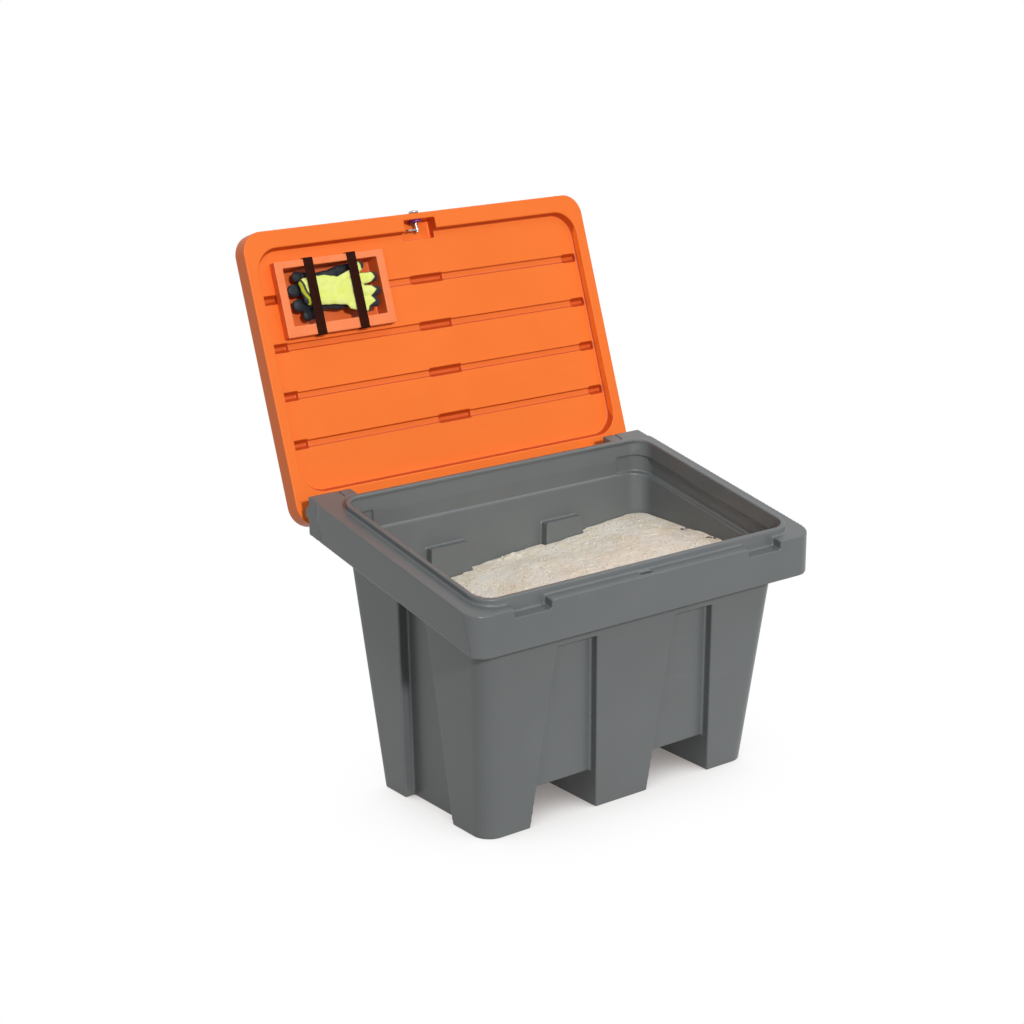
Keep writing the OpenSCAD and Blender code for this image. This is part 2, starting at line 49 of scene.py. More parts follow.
# The lid as it stands open: x runs along the hinge, -y up the lid, z from its underside into it.
# The tray's own frame is in millimetres, with its origin in the middle of the tray's face.
rim = {"height": 0.632, "slope": 10.7}
hinge = {"back": 0.332, "drop": 0.0395, "open": 120}
trayPlace = (-0.277, -0.495, 0.0371)
rimFrame = Matrix.Translation((0, 0, rim["height"])) @ Matrix.Rotation(math.radians(rim["slope"]), 4, "X")
hingeFrame = rimFrame @ Matrix.Translation((0, hinge["back"], -hinge["drop"]))
lidFrame = hingeFrame @ Matrix.Rotation(math.radians(-hinge["open"]), 4, "X")
trayFrame = lidFrame @ Matrix.Translation(trayPlace) @ Matrix.Scale(mm, 4)


def clamp(value, low=0, high=1):
    return min(max(value, low), high)


def linear(hexText):
    parts = [int(hexText[i:i + 2], 16) / 255 for i in (1, 3, 5)]
    return tuple(c / 12.92 if c < 0.04045 else ((c + 0.055) / 1.055) ** 2.4 for c in parts) + (1,)


def addNode(tree, kind, settings=None, inputs=None):
    # an input is another node's output, a colour as hex text, or a plain value
    node = tree.nodes.new("ShaderNode" + kind)
    for name, value in (settings or {}).items():
        setattr(node, name, value)
    for socket, value in (inputs or {}).items():
        if isinstance(value, bpy.types.NodeSocket):
            tree.links.new(value, node.inputs[socket])
        elif isinstance(value, str):
            node.inputs[socket].default_value = linear(value)
        else:
            node.inputs[socket].default_value = value
    return node


def objectPlace(tree):
    return addNode(tree, "TexCoord").outputs["Object"]


def pointShare(tree, name):
    return addNode(tree, "Attribute", {"attribute_name": name}).outputs["Fac"]


def noiseAt(tree, place, size, detail, roughness=0.5):
    # size is in millimetres
    inputs = {"Vector": place, "Scale": 1 / (size * mm), "Detail": detail, "Roughness": roughness}
    return addNode(tree, "TexNoise", inputs=inputs).outputs["Fac"]


def wavesAt(tree, place, size, inputs):
    # The wave texture turns 20 radians in a unit, so its bands are 2 pi times the size apart
    inputs = {"Vector": place, "Scale": 1 / (size * mm) / 20, **inputs}
    return addNode(tree, "TexWave", {"bands_direction": "X"}, inputs).outputs["Fac"]


def mixColours(tree, share, first, second):
    return addNode(tree, "Mix", {"data_type": "RGBA"}, {0: share, 6: first, 7: second}).outputs[2]


def ranged(tree, value, taken, given=(0, 1)):
    # what lies between the two taken values is spread between the two given ones
    limits = {"From Min": taken[0], "From Max": taken[1], "To Min": given[0], "To Max": given[1]}
    return addNode(tree, "MapRange", inputs={"Value": value, **limits}).outputs[0]


def bump(tree, height, strength, depth, under=None, invert=False):
    # depth is in millimetres, and under is the bump that this one lies on
    inputs = {"Height": height, "Strength": strength, "Distance": depth * mm}
    if under is not None:
        inputs["Normal"] = under
    return addNode(tree, "Bump", {"invert": invert}, inputs).outputs[0]


def maths(tree, operation, first, second):
    return addNode(tree, "Math", {"operation": operation}, {0: first, 1: second}).outputs[0]


def newMaterial(name):
    material = bpy.data.materials.new(name)
    material.use_nodes = True
    material.node_tree.nodes.clear()
    return material


def finishMaterial(material, shader):
    addNode(material.node_tree, "OutputMaterial", inputs={"Surface": shader})
    return material


# What all the mouldings share. Rubs run mostly level, so their noise is stretched along x.
# The pebble is drawn coarser than a real one, so that it shows.
mould = {"cloudRange": (0.3, 0.7), "rubRange": (0.62, 0.74), "rubStretch": (0.12, 0.5, 1.6),
    "smoother": 0.05, "rougher": 0.07, "wave": 45, "waveDepth": 0.8, "waveStrength": 0.12,
    "pebbleStrength": 0.3}


# Polyethylene, rotationally moulded: satin, with cloudy patches from the powder, a fine pebble
# from the mould and a few pale rubs
def mouldedPlastic(name, look):
    material = newMaterial(name)
    tree = material.node_tree
    place = objectPlace(tree)
    cloud = noiseAt(tree, place, look["patch"], 3)
    cloudy = ranged(tree, cloud, mould["cloudRange"])
    tone = mixColours(tree, cloudy, look["deep"], look["colour"])
    stretched = addNode(tree, "Mapping", inputs={"Vector": place, "Scale": mould["rubStretch"]}).outputs[0]
    rub = noiseAt(tree, stretched, look["rub"], 5, 0.7)
    rubbed = ranged(tree, rub, mould["rubRange"], (0, look["wear"]))
    worn = mixColours(tree, rubbed, tone, look["pale"])
    # Painted shade: where a piece marks its hollows, they are drawn in a deeper tone
    colour = mixColours(tree, pointShare(tree, "hollow"), worn, look["hollow"])
    smooth, coarse = look["rough"] - mould["smoother"], look["rough"] + mould["rougher"]
    rough = ranged(tree, cloud, (0, 1), (smooth, coarse))
    wave = noiseAt(tree, place, mould["wave"], 1)
    broad = bump(tree, wave, mould["waveStrength"], mould["waveDepth"])
    pebble = noiseAt(tree, place, look["pebble"], 2)
    fine = bump(tree, pebble, mould["pebbleStrength"], look["relief"], broad)
    plastic = addNode(tree, "BsdfPrincipled", inputs={"Base Color": colour, "Roughness": rough,
        "Normal": fine, "IOR": 1.51, "Specular IOR Level": look["shine"]}).outputs[0]
    return finishMaterial(material, plastic)


# Each look's hollow colour is the deeper tone of painted shade in hollows; the bin and the bushes mark no
# hollows, so theirs is not drawn
binLook = {"colour": "#6C7071", "deep": "#686C6D", "pale": "#868A8A", "hollow": "#64686A",
    "patch": 130, "rub": 60, "wear": 0.12, "rough": 0.34, "pebble": 2.4, "relief": 0.1, "shine": 0.5}
lidLook = {"colour": "#FC7A26", "deep": "#F97724", "pale": "#FF9452", "hollow": "#CB4D10",
    "patch": 160, "rub": 70, "wear": 0.12, "rough": 0.42, "pebble": 2.4, "relief": 0.1, "shine": 0.4}
trayLook = {"colour": "#FF8E58", "deep": "#FC8850", "pale": "#FFA67C", "hollow": "#E46C30",
    "patch": 60, "rub": 40, "wear": 0.15, "rough": 0.36, "pebble": 2, "relief": 0.06, "shine": 0.4}
bushLook = {"colour": "#1B1C1D", "deep": "#151617", "pale": "#3A3B3C", "hollow": "#151617",
    "patch": 20, "rub": 10, "wear": 0.2, "rough": 0.38, "pebble": 1.6, "relief": 0.04, "shine": 0.5}
greyPolyethylene = mouldedPlastic("grey_polyethylene_rotomoulded", binLook)
orangePolyethylene = mouldedPlastic("orange_polyethylene_rotomoulded", lidLook)
coralStyrene = mouldedPlastic("coral_polystyrene_vacuum_formed", trayLook)
blackNylon = mouldedPlastic("black_nylon_injection_moulded", bushLook)


# Steel bar, zinc plated: grey with a faint bluish bloom and fine turning marks round the pin
def platedSteel(name, look):
    material = newMaterial(name)
    tree = material.node_tree
    place = objectPlace(tree)
    bloom = noiseAt(tree, place, look["bloom"], 4)
    colour = mixColours(tree, bloom, look["dull"], look["bright"])
    rough = ranged(tree, bloom, (0, 1), (look["rough"], look["rough"] + look["rougher"]))
    marks = bump(tree, wavesAt(tree, place, look["mark"], {"Distortion": 0.6}), 0.15, look["relief"])
    steel = addNode(tree, "BsdfPrincipled", inputs={"Base Color": colour, "Roughness": rough,
        "Normal": marks, "Metallic": 1.0}).outputs[0]
    return finishMaterial(material, steel)


zincLook = {"dull": "#8E9296", "bright": "#B7BABD", "bloom": 6, "mark": 1.2, "relief": 0.05, "rough": 0.3,
    "rougher": 0.1}
zincSteel = platedSteel("steel_zinc_plated", zincLook)
# Die-cast zinc, chromed: bright and nearly smooth, hazed by handling
chromeLook = {"dull": "#9B9C9E", "bright": "#C9CACC", "bloom": 9, "mark": 2, "relief": 0.05, "rough": 0.14,
    "rougher": 0.1}
lockChrome = platedSteel("zinc_diecast_chromed", chromeLook)


# Loose de-icing grit, crushed and sieved: pale cream grains of mixed tones with a few dark ones
def looseGrit(name, look):
    material = newMaterial(name)
    tree = material.node_tree
    place = objectPlace(tree)
    grains = addNode(tree, "TexVoronoi", inputs={"Vector": place, "Scale": 1 / (look["grain"] * mm)})
    pick = addNode(tree, "SeparateColor", inputs={0: grains.outputs["Color"]})
    dampness = ranged(tree, noiseAt(tree, place, look["patch"], 4), look["dampRange"])
    base = mixColours(tree, dampness, look["colour"], look["damp"])
    warmth = ranged(tree, pick.outputs[0], (0, 1), (0, look["warmShare"]))
    toned = mixColours(tree, warmth, base, look["warm"])
    dark = ranged(tree, pick.outputs[1], look["speckRange"], (0, look["speckShare"]))
    colour = mixColours(tree, dark, toned, look["speck"])
    crumbs = noiseAt(tree, place, look["crumb"], 5, 0.65)
    low = bump(tree, crumbs, 0.6, look["crumbRelief"])
    high = bump(tree, grains.outputs["Distance"], 0.5, look["grainRelief"], low, invert=True)
    grit = addNode(tree, "BsdfPrincipled", inputs={"Base Color": colour, "Normal": high, "IOR": 1.5,
        "Roughness": 0.9, "Specular IOR Level": 0.25}).outputs[0]
    return finishMaterial(material, grit)


# The grains are drawn at 3 mm, so that they show from where the camera stands
gritLook = {"colour": "#FFFAF0", "warm": "#FBF0DC", "damp": "#FAEDD4", "speck": "#C0A67C", "grain": 3,
    "grainRelief": 0.9, "crumb": 7, "crumbRelief": 2, "patch": 55, "dampRange": (0.42, 0.72),
    "warmShare": 0.55, "speckRange": (0.955, 0.97), "speckShare": 0.75}
sievedGrit = looseGrit("rock_salt_grit_crushed", gritLook)


# Rubber band, extruded: dark brown, smooth, and thin enough to let a little amber light through
def bandRubber(name, look):
    material = newMaterial(name)
    tree = material.node_tree
    bloom = noiseAt(tree, objectPlace(tree), look["patch"], 4)
    colour = mixColours(tree, bloom, look["colour"], look["bloom"])
    rough = ranged(tree, bloom, (0, 1), look["rough"])
    uneven = bump(tree, bloom, 0.2, look["relief"])
    rubber = addNode(tree, "BsdfPrincipled", inputs={"Base Color": colour, "Roughness": rough,
        "Normal": uneven, "IOR": 1.5, "Specular IOR Level": look["shine"]}).outputs[0]
    clear = addNode(tree, "BsdfTransparent", inputs={"Color": look["amber"]}).outputs[0]
    mixed = addNode(tree, "MixShader", inputs={0: look["clear"], 1: rubber, 2: clear}).outputs[0]
    return finishMaterial(material, mixed)


strapLook = {"colour": "#2C0E05", "bloom": "#351307", "amber": "#C08A3A", "clear": 0.2, "patch": 14,
    "relief": 0.1, "rough": (0.34, 0.5), "shine": 0.08}
brownRubber = bandRubber("brown_rubber_extruded", strapLook)

# What both gloves' knit shares, in millimetres. Ribs and loops are drawn wider than real ones, so
# that they show.
knit = {"rib": 2, "loop": 1.8, "loopShare": 0.4, "weaveRelief": 0.4, "crinkle": 5, "crinkleRelief": 1.2,
    "blotRange": (0.35, 0.7), "rough": 0.85, "coatRough": 0.5}


# Work glove, knitted nylon with a dipped coat: ribbed and matt on the back, smoother where dipped
def gloveKnit(name, look):
    material = newMaterial(name)
    tree = material.node_tree
    place = objectPlace(tree)
    coat = pointShare(tree, "coat")
    blotchy = ranged(tree, noiseAt(tree, place, look["blot"], 4), knit["blotRange"])
    yarn = mixColours(tree, blotchy, look["knit"], look["shade"])
    banded = mixColours(tree, pointShare(tree, "stripe"), yarn, look["stripe"])
    colour = mixColours(tree, coat, banded, look["coat"])
    ribs = wavesAt(tree, place, knit["rib"], {"Distortion": 2.5, "Detail": 2, "Detail Scale": 3})
    loops = addNode(tree, "TexVoronoi", inputs={"Vector": place,
        "Scale": 1 / (knit["loop"] * mm)}).outputs["Distance"]
    woven = addNode(tree, "Mix", {"data_type": "FLOAT"},
        {0: knit["loopShare"], 2: ribs, 3: loops}).outputs[0]
    weave = bump(tree, woven, 0.45, knit["weaveRelief"])
    folds = bump(tree, noiseAt(tree, place, knit["crinkle"], 5), 0.5, knit["crinkleRelief"], weave)
    rough = ranged(tree, coat, (0, 1), (knit["rough"], knit["coatRough"]))
    fibre = addNode(tree, "BsdfPrincipled", inputs={"Base Color": colour, "Roughness": rough,
        "Normal": folds, "IOR": 1.5, "Specular IOR Level": 0.3, "Sheen Weight": 0.15}).outputs[0]
    return finishMaterial(material, fibre)


yellowLook = {"knit": "#F2FB9A", "shade": "#EAF676", "stripe": "#B9BE28", "coat": "#15191B", "blot": 26}
blackLook = {"knit": "#262E36", "shade": "#1A2026", "stripe": "#2C333A", "coat": "#171D24", "blot": 20}
yellowKnit = gloveKnit("yellow_nylon_knitted_dipped", yellowLook)
blackKnit = gloveKnit("black_nylon_knitted_dipped", blackLook)


# Acetal, moulded and glossy: the purple ring round the lock
def glossAcetal(name, look):
    material = newMaterial(name)
    tree = material.node_tree
    swirl = noiseAt(tree, objectPlace(tree), look["swirl"], 3)
    colour = mixColours(tree, swirl, look["colour"], look["deep"])
    rough = ranged(tree, swirl, (0, 1), look["rough"])
    acetal = addNode(tree, "BsdfPrincipled", inputs={"Base Color": colour, "Roughness": rough,
        "IOR": 1.48}).outputs[0]
    return finishMaterial(material, acetal)


ringLook = {"colour": "#7A1E8C", "deep": "#5E1470", "swirl": 8, "rough": (0.16, 0.28)}
purpleAcetal = glossAcetal("purple_acetal_moulded", ringLook)
print("materials made")


def paint(mesh, material):
    mesh.materials.clear()
    mesh.materials.append(material)


def addPiece(name, mesh, body, material, nodes=()):
    piece = bpy.data.objects.new(name, mesh)
    bpy.context.scene.collection.objects.link(piece)
    paint(mesh, material)
    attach(piece, body)
    if nodes:
        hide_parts(*nodes)
    return piece


def applyModifiers(piece, material):
    graph = bpy.context.evaluated_depsgraph_get()
    finished = bpy.data.meshes.new_from_object(piece.evaluated_get(graph))
    piece.modifiers.clear()
    piece.data = finished
    paint(finished, material)


def reskin(piece, material, spacing, rounds=0, share=1):
    # new faces at an even spacing, relaxed for some rounds and thinned to a share of their number
    skin = piece.modifiers.new("skin", "REMESH")
    skin.mode = "VOXEL"
    skin.voxel_size = spacing
    if rounds:
        relax = piece.modifiers.new("relax", "SMOOTH")
        relax.factor = 0.5
        relax.iterations = rounds
    if share < 1:
        thin = piece.modifiers.new("thin", "DECIMATE")
        thin.ratio = share
    applyModifiers(piece, material)


def finishMesh(name, shape):
    mesh = bpy.data.meshes.new(name)
    shape.to_mesh(mesh)
    shape.free()
    return mesh


def weldedNodes(nodes, gap=0.005):
    # the CAD meshes of these nodes, with points closer than the gap in millimetres joined
    shape = bmesh.new()
    for node in nodes:
        shape.from_mesh(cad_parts[node].data)
    bmesh.ops.remove_doubles(shape, verts=shape.verts, dist=gap * mm)
    return shape


def ballMesh(name, placed, subdivisions):
    # many small balls in one mesh, each unit ball moved by its own matrix
    unit = bmesh.new()
    bmesh.ops.create_icosphere(unit, subdivisions=subdivisions, radius=1)
    unitPoints = [v.co.copy() for v in unit.verts]
    unitFaces = [[v.index for v in f.verts] for f in unit.faces]
    unit.free()
    points, faces = [], []
    for matrix in placed:
        start = len(points)
        points += [matrix @ p for p in unitPoints]
        faces += [[start + i for i in f] for f in unitFaces]
    mesh = bpy.data.meshes.new(name)
    mesh.from_pydata(points, [], faces)
    return mesh


def tubeMesh(name, rings):
    # a closed skin over a row of rings, each a list of as many points
    shape = bmesh.new()
    hoops = [[shape.verts.new(point) for point in ring] for ring in rings]
    for a, b in zip(hoops, hoops[1:]):
        for k in range(len(a)):
            n = (k + 1) % len(a)
            shape.faces.new((a[k], a[n], b[n], b[k]))
    shape.faces.new(hoops[0])
    shape.faces.new(list(reversed(hoops[-1])))
    bmesh.ops.recalc_face_normals(shape, faces=shape.faces)
    return finishMesh(name, shape)


def shadeSmooth(mesh):
    mesh.polygons.foreach_set("use_smooth", [True] * len(mesh.polygons))


def keepInside(mesh, nodes):
    # relaxing may push a corner out by a hair, so the points are held in the CAD nodes' box
    corners = [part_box(node) for node in nodes]
    low = [min(c[0][i] for c in corners) for i in range(3)]
    high = [max(c[1][i] for c in corners) for i in range(3)]
    for vert in mesh.vertices:
        vert.co = [clamp(vert.co[i], low[i], high[i]) for i in range(3)]


def addPointValues(mesh, name, values):
    mesh.attributes.new(name, "FLOAT", "POINT").data.foreach_set("value", values)


# The sunk field in the lid's underside, in the lid's frame. Depths are in millimetres from its
# floor, and a face that lies level in the lid has the level 1.
lidField = {"floor": 0.0581, "half": 0.468, "front": -0.645, "rear": 0.0, "above": 16, "below": 15,
    "level": 0.97, "fade": 0.12, "grooveDepth": 14, "grooveShare": 0.75}


def lidPaintedShade(point, normal):
    # painted shade: the share of the deeper tone on the steep walls in the lid's underside, inside its
    # border, and on the floors of its grooves
    spot = lidFrame.inverted() @ point
    depth = (spot.z - lidField["floor"]) / mm
    inside = abs(spot.x) <= lidField["half"] and lidField["front"] < spot.y < lidField["rear"]
    if not inside or not -lidField["above"] < depth < lidField["below"]:
        return 0
    level = abs((lidFrame.to_3x3().inverted() @ normal).z)
    steep = clamp((lidField["level"] - level) / lidField["fade"])
    return max(steep, clamp(depth / lidField["grooveDepth"], 0, lidField["grooveShare"]))


def trayPaintedShade(point, normal, start=1, fade=2):
    # painted shade: the deeper tone on everything below the tray's face, from the start on, in millimetres
    return clamp(((trayFrame.inverted() @ point).z - start) / fade)


# A moulding has no sharp edge: the CAD faces are skinned again at an even spacing and relaxed
def softMoulding(name, body, material, nodes, look):
    piece = addPiece(name, finishMesh(name, weldedNodes(nodes)), body, material, nodes)
    reskin(piece, material, look["spacing"] * mm, look["rounds"], look["share"])
    mesh = piece.data
    keepInside(mesh, nodes)
    shadeSmooth(mesh)
    # painted shade: each point gets its share of the deeper tone
    if "hollow" in look:
        addPointValues(mesh, "hollow", [look["hollow"](v.co, v.normal) for v in mesh.vertices])
    even = piece.modifiers.new("even", "WEIGHTED_NORMAL")
    even.mode = "FACE_AREA"
    even.weight = 60
    print(name, "softened,", len(mesh.polygons), "faces")


bodyLook = {"spacing": 2.2, "rounds": 4, "share": 0.07}
lidSkinLook = {"spacing": 1.6, "rounds": 3, "share": 0.065, "hollow": lidPaintedShade}
bracketLook = {"spacing": 1.4, "rounds": 6, "share": 0.4}
traySkinLook = {"spacing": 1.2, "rounds": 3, "share": 0.15, "hollow": trayPaintedShade}
softMoulding("bin_shell", "bin", greyPolyethylene, ["bin_body"], bodyLook)
softMoulding("lid_shell", "lid", orangePolyethylene,
    ["lid_outer_shell", "lid_inner_panel"], lidSkinLook)
for side in ("left", "right"):
    softMoulding("bracket_" + side, "bin", greyPolyethylene, ["hinge_bracket_" + side],
        bracketLook)
softMoulding("tray_shell", "lid", coralStyrene, ["glove_tray"], traySkinLook)


# Loose grit: the heap's flat faces are relaxed into one slope, then roughened and strewn with
# stones. Some grit has slid onto the ledge that the right recess makes inside, and a clump lies
# near the rear wall. Places are in metres, and sizes of lumps and stones in millimetres.
gritHeap = {"spacing": 5, "rounds": 60, "sink": 2, "facesUp": 0.6, "lowest": 0.4,
    "dune": 4, "duneSize": 90, "lump": 1.6, "lumpSize": 14, "lumpLayer": 3, "lumpNoise": (0.9, 2.1, 4),
    "spill": [(0.402, -0.035, 0.507), (0.403, 0.01, 0.508), (0.4, -0.075, 0.505)],
    "spillSize": (0.031, 0.06, 0.0105),
    "clumpPlace": (0.005, 0.222), "clumpSize": (0.045, 0.02), "clumpHeight": 7, "clumpGrain": 9,
    "stones": 900, "stoneRadius": (0.8, 2.3), "stoneWidth": (0.6, 0.9), "stoneHeight": (0.5, 0.8),
    "stoneLift": 0.2}


def slopeHeight(spot, look):
    # height of the dunes, lumps and clump over a point of the slope, in millimetres
    dune = noise.noise(Vector((spot.x, spot.y, 0)) / (look["duneSize"] * mm)) * look["dune"]
    lumpSpot = Vector((spot.x, spot.y, look["lumpLayer"])) / (look["lumpSize"] * mm)
    lump = noise.fractal(lumpSpot, *look["lumpNoise"]) * look["lump"]
    away = ((spot.x - look["clumpPlace"][0]) / look["clumpSize"][0]) ** 2
    away += ((spot.y - look["clumpPlace"][1]) / look["clumpSize"][1]) ** 2
    uneven = 0.6 + noise.noise(spot / (look["clumpGrain"] * mm))
    clump = math.exp(-away) * look["clumpHeight"] * uneven
    return dune + lump + clump - look["lump"]


def makeStone(vert, look):
    size = random.uniform(*look["stoneRadius"]) * mm
    place = Matrix.Translation(vert.co + vert.normal * size * look["stoneLift"])
    spin = Matrix.Rotation(random.uniform(0, 6), 4, "Z")
    tilt = Matrix.Rotation(random.uniform(0, 1), 4, "X")
    width = size * random.uniform(*look["stoneWidth"])
    height = size * random.uniform(*look["stoneHeight"])
    return place @ spin @ tilt @ Matrix.Diagonal((size, width, height, 1))


def makeGrit(look):
    source = weldedNodes(["grit_fill"])
    sizes = Matrix.Diagonal(look["spillSize"] + (1,))
    spill = ballMesh("spill", [Matrix.Translation(place) @ sizes for place in look["spill"]], 3)
    source.from_mesh(spill)
    bpy.data.meshes.remove(spill)
    mesh = finishMesh("grit_heap", source)
    piece = addPiece("grit_heap", mesh, "bin", sievedGrit, ["grit_fill"])
    reskin(piece, sievedGrit, look["spacing"] * mm)
    heap = bmesh.new()
    heap.from_mesh(piece.data)
    heap.normal_update()
    up = look["facesUp"]
    top = [v for v in heap.verts if v.normal.z > up and v.co.z > look["lowest"]]
    inner = [v for v in top if all(e.other_vert(v).normal.z > up for e in v.link_edges)]
    before = {v: v.co.z for v in inner}
    for step in range(look["rounds"]):
        bmesh.ops.smooth_vert(heap, verts=inner, factor=0.5, use_axis_z=True)
    for v in inner:
        rough = slopeHeight(v.co, look) * mm
        v.co.z = clamp(v.co.z, before[v] - look["sink"] * mm, before[v]) + rough
    heap.normal_update()
    # Stones up to 5 mm across lie half sunk in the slope
    stones = ballMesh("stones", [makeStone(v, look) for v in random.sample(inner, look["stones"])], 1)
    heap.from_mesh(stones)
    bpy.data.meshes.remove(stones)
    heap.to_mesh(piece.data)
    heap.free()
    shadeSmooth(piece.data)
    print("grit heaped,", len(piece.data.polygons), "faces")


makeGrit(gritHeap)


# Gloves: rounded limbs are laid out flat in the tray, skinned into one, relaxed and creased.
# Points are in the tray's frame, in millimetres. Each limb is a row of (x, y, width), and each
# crease is (x, y, x, y, depth, width).
yellowGlove = {
    "middle": 7.6, "thick": 12.6,
    "limbs": [
        [(-78, -30, 34), (-20, -30, 36), (30, -18, 36), (58, -16, 34)],
        [(-76, -14, 34), (-10, -12, 40), (60, 2, 40)],
        [(-72, 4, 34), (-10, 8, 36), (30, 14, 36), (56, 22, 36)],
        [(50, -20, 30), (88, -26, 29), (114, -27, 27)],
        [(50, 0, 30), (90, 4, 29), (116, 7, 27)],
        [(48, 20, 28), (84, 29, 28), (108, 33, 25)],
        [(40, 32, 24), (66, 42, 21), (82, 46, 18)],
        [(20, -26, 28), (60, -42, 26), (84, -58, 23)],
    ],
    "creases": [(-45, -46, -38, 20, 1.6, 5), (60, -36, 64, 44, 2.2, 5), (92, -38, 94, 14, 1.2, 3.5),
        (-5, -34, 20, 24, 1.0, 7), (16, -30, 48, 6, 1.2, 6), (66, -10, 108, -11, 2.2, 3.2),
        (66, 17, 100, 18, 2.2, 3.2), (-70, -40, -62, 20, 1.2, 4)],
    "cuff": [(-90, -60), (-88, -40), (-83, -28), (-80, -14), (-73, -3), (-68, 6), (-67, 14),
        (-74, 22), (-84, 34)],
    "backEnd": [(78, -70), (82, -50), (108, -38), (114, -26), (98, -11), (112, 4), (96, 18),
        (103, 31), (82, 42), (76, 60)],
}
# The black glove lies under the yellow one with its palm up, so all of it is coat
blackGlove = {
    "middle": 22.4, "thick": 12.6,
    "limbs": [
        [(-40, -40, 34), (10, -40, 40), (60, -34, 40)],
        [(-40, -16, 40), (10, -12, 42), (60, -8, 42)],
        [(-36, 10, 38), (10, 18, 40), (56, 16, 36)],
        [(-30, -40, 26), (-66, -48, 26), (-86, -52, 28)],
        [(-40, -20, 28), (-84, -21, 29), (-104, -21, 31)],
        [(-38, 4, 28), (-78, 13, 29), (-97, 15, 32)],
        [(-34, 24, 26), (-58, 38, 26), (-78, 41, 27)],
        [(0, -44, 32), (30, -52, 30), (60, -54, 28)],
    ],
    "creases": [(-74, -64, -70, -38, 1.4, 3.5), (-82, -34, -80, -8, 1.4, 3.5),
        (-78, 0, -76, 26, 1.4, 3.5), (-62, 24, -58, 48, 1.4, 3.5), (-20, -54, 0, 34, 1.4, 6),
        (20, -60, 50, 24, 1.2, 6)],
    "cuff": [],
}
# How both gloves are made up, and how far they may reach in the tray
gloveSkin = {"step": 3, "spacing": 1.6, "rounds": 5, "foldSize": 13, "foldDepth": 0.9,
    "foldNoise": (1, 2.1, 3), "reachX": (-130, 130), "reachY": (-72, 63)}
# The coat at the glove's side, widening from the palm to the fingers, and at the cuff's edge
gloveCoat = {"ripple": 0.1, "rippleSize": 6, "rim": 0.5, "rimWider": 0.24, "palmEnd": 40,
    "fingers": 50, "rimFade": 0.12, "endFade": 2.5, "hem": 3.6, "hemMiddle": 1, "hemFade": 1.2,
    "inside": 9, "insideFade": 2, "stripeFade": 1.5}


def creaseDepth(spot, creases):
    depth = 0
    for ax, ay, bx, by, most, width in creases:
        a, b = Vector((ax, ay)), Vector((bx, by))
        along = b - a
        share = clamp((spot - a).dot(along) / along.length_squared)
        gap = (spot - a - along * share).length
        ends = math.sin(math.pi * clamp(share, 0.08, 0.92)) ** 0.5
        depth += most * math.exp(-(gap / width) ** 2) * ends
    return depth


def lineAt(line, y):
    # x of a line of (x, y) points at the height y
    for (ax, ay), (bx, by) in zip(line, line[1:]):
        if y <= by:
            return ax + (bx - ax) * clamp((y - ay) / (by - ay))
    return line[-1][0]


def limbBalls(limb, look):
    # flattened balls in a close row along a limb
    placed = []
    for (ax, ay, aw), (bx, by, bw) in zip(limb, limb[1:]):
        steps = max(2, int(math.hypot(bx - ax, by - ay) / gloveSkin["step"]))
        for i in range(steps + 1):
            t = i / steps
            width = aw + (bw - aw) * t
            place = Matrix.Translation((ax + (bx - ax) * t, ay + (by - ay) * t, look["middle"]))
            placed.append(place @ Matrix.Diagonal((width / 2, width / 2, look["thick"] / 2, 1)))
    return placed


def coatAndStripe(spot, normal, look):
    # shares of the dark coat and of the cuff's inside at a point. The coat shows as a rim round the
    # yellow back, past the back's end, as a hem at the cuff, and again deep inside it
    if not look["cuff"]:
        return 1, 0
    made = gloveCoat
    side = -normal.z + made["ripple"] * noise.noise(spot / made["rippleSize"])
    rimWidth = made["rim"] + made["rimWider"] * clamp((spot.x - made["palmEnd"]) / made["fingers"])
    beyond = spot.x - lineAt(look["backEnd"], spot.y)
    gap = spot.x - lineAt(look["cuff"], spot.y)
    coats = [(rimWidth - side) / made["rimFade"], beyond / made["endFade"],
        (made["hem"] - abs(gap - made["hemMiddle"])) / made["hemFade"],
        (-gap - made["inside"]) / made["insideFade"]]
    return clamp(max(coats)), clamp(-gap / made["stripeFade"])


def makeGlove(name, node, material, look):
    placed = [ball for limb in look["limbs"] for ball in limbBalls(limb, look)]
    piece = addPiece(name, ballMesh(name, placed, 2), "lid", material, [node])
    reskin(piece, material, gloveSkin["spacing"], gloveSkin["rounds"])
    mesh = piece.data
    low, high = look["middle"] - look["thick"] / 2, look["middle"] + look["thick"] / 2
    moved = []
    for v, normal in [(v.co.copy(), v.normal.copy()) for v in mesh.vertices]:
        v.z += max(0, -normal.z) * creaseDepth(v.xy, look["creases"])
        foldSpot = Vector((v.x, v.y, v.z * 2)) / gloveSkin["foldSize"]
        v += normal * noise.fractal(foldSpot, *gloveSkin["foldNoise"]) * gloveSkin["foldDepth"]
        moved += [clamp(v.x, *gloveSkin["reachX"]), clamp(v.y, *gloveSkin["reachY"])]
        moved.append(clamp(v.z, low, high))
    mesh.vertices.foreach_set("co", moved)
    mesh.update()
    shares = [coatAndStripe(v.co, v.normal, look) for v in mesh.vertices]
    addPointValues(mesh, "coat", [coat for coat, stripe in shares])
    addPointValues(mesh, "stripe", [stripe for coat, stripe in shares])
    mesh.transform(trayFrame)
    shadeSmooth(mesh)
    smooth = piece.modifiers.new("fine", "SUBSURF")
    smooth.levels = smooth.render_levels = 1
    applyModifiers(piece, material)
    print(name, "made,", len(piece.data.polygons), "faces")


makeGlove("glove_yellow_knit", "glove_yellow", yellowKnit, yellowGlove)
makeGlove("glove_black_knit", "glove_black", blackKnit, blackGlove)


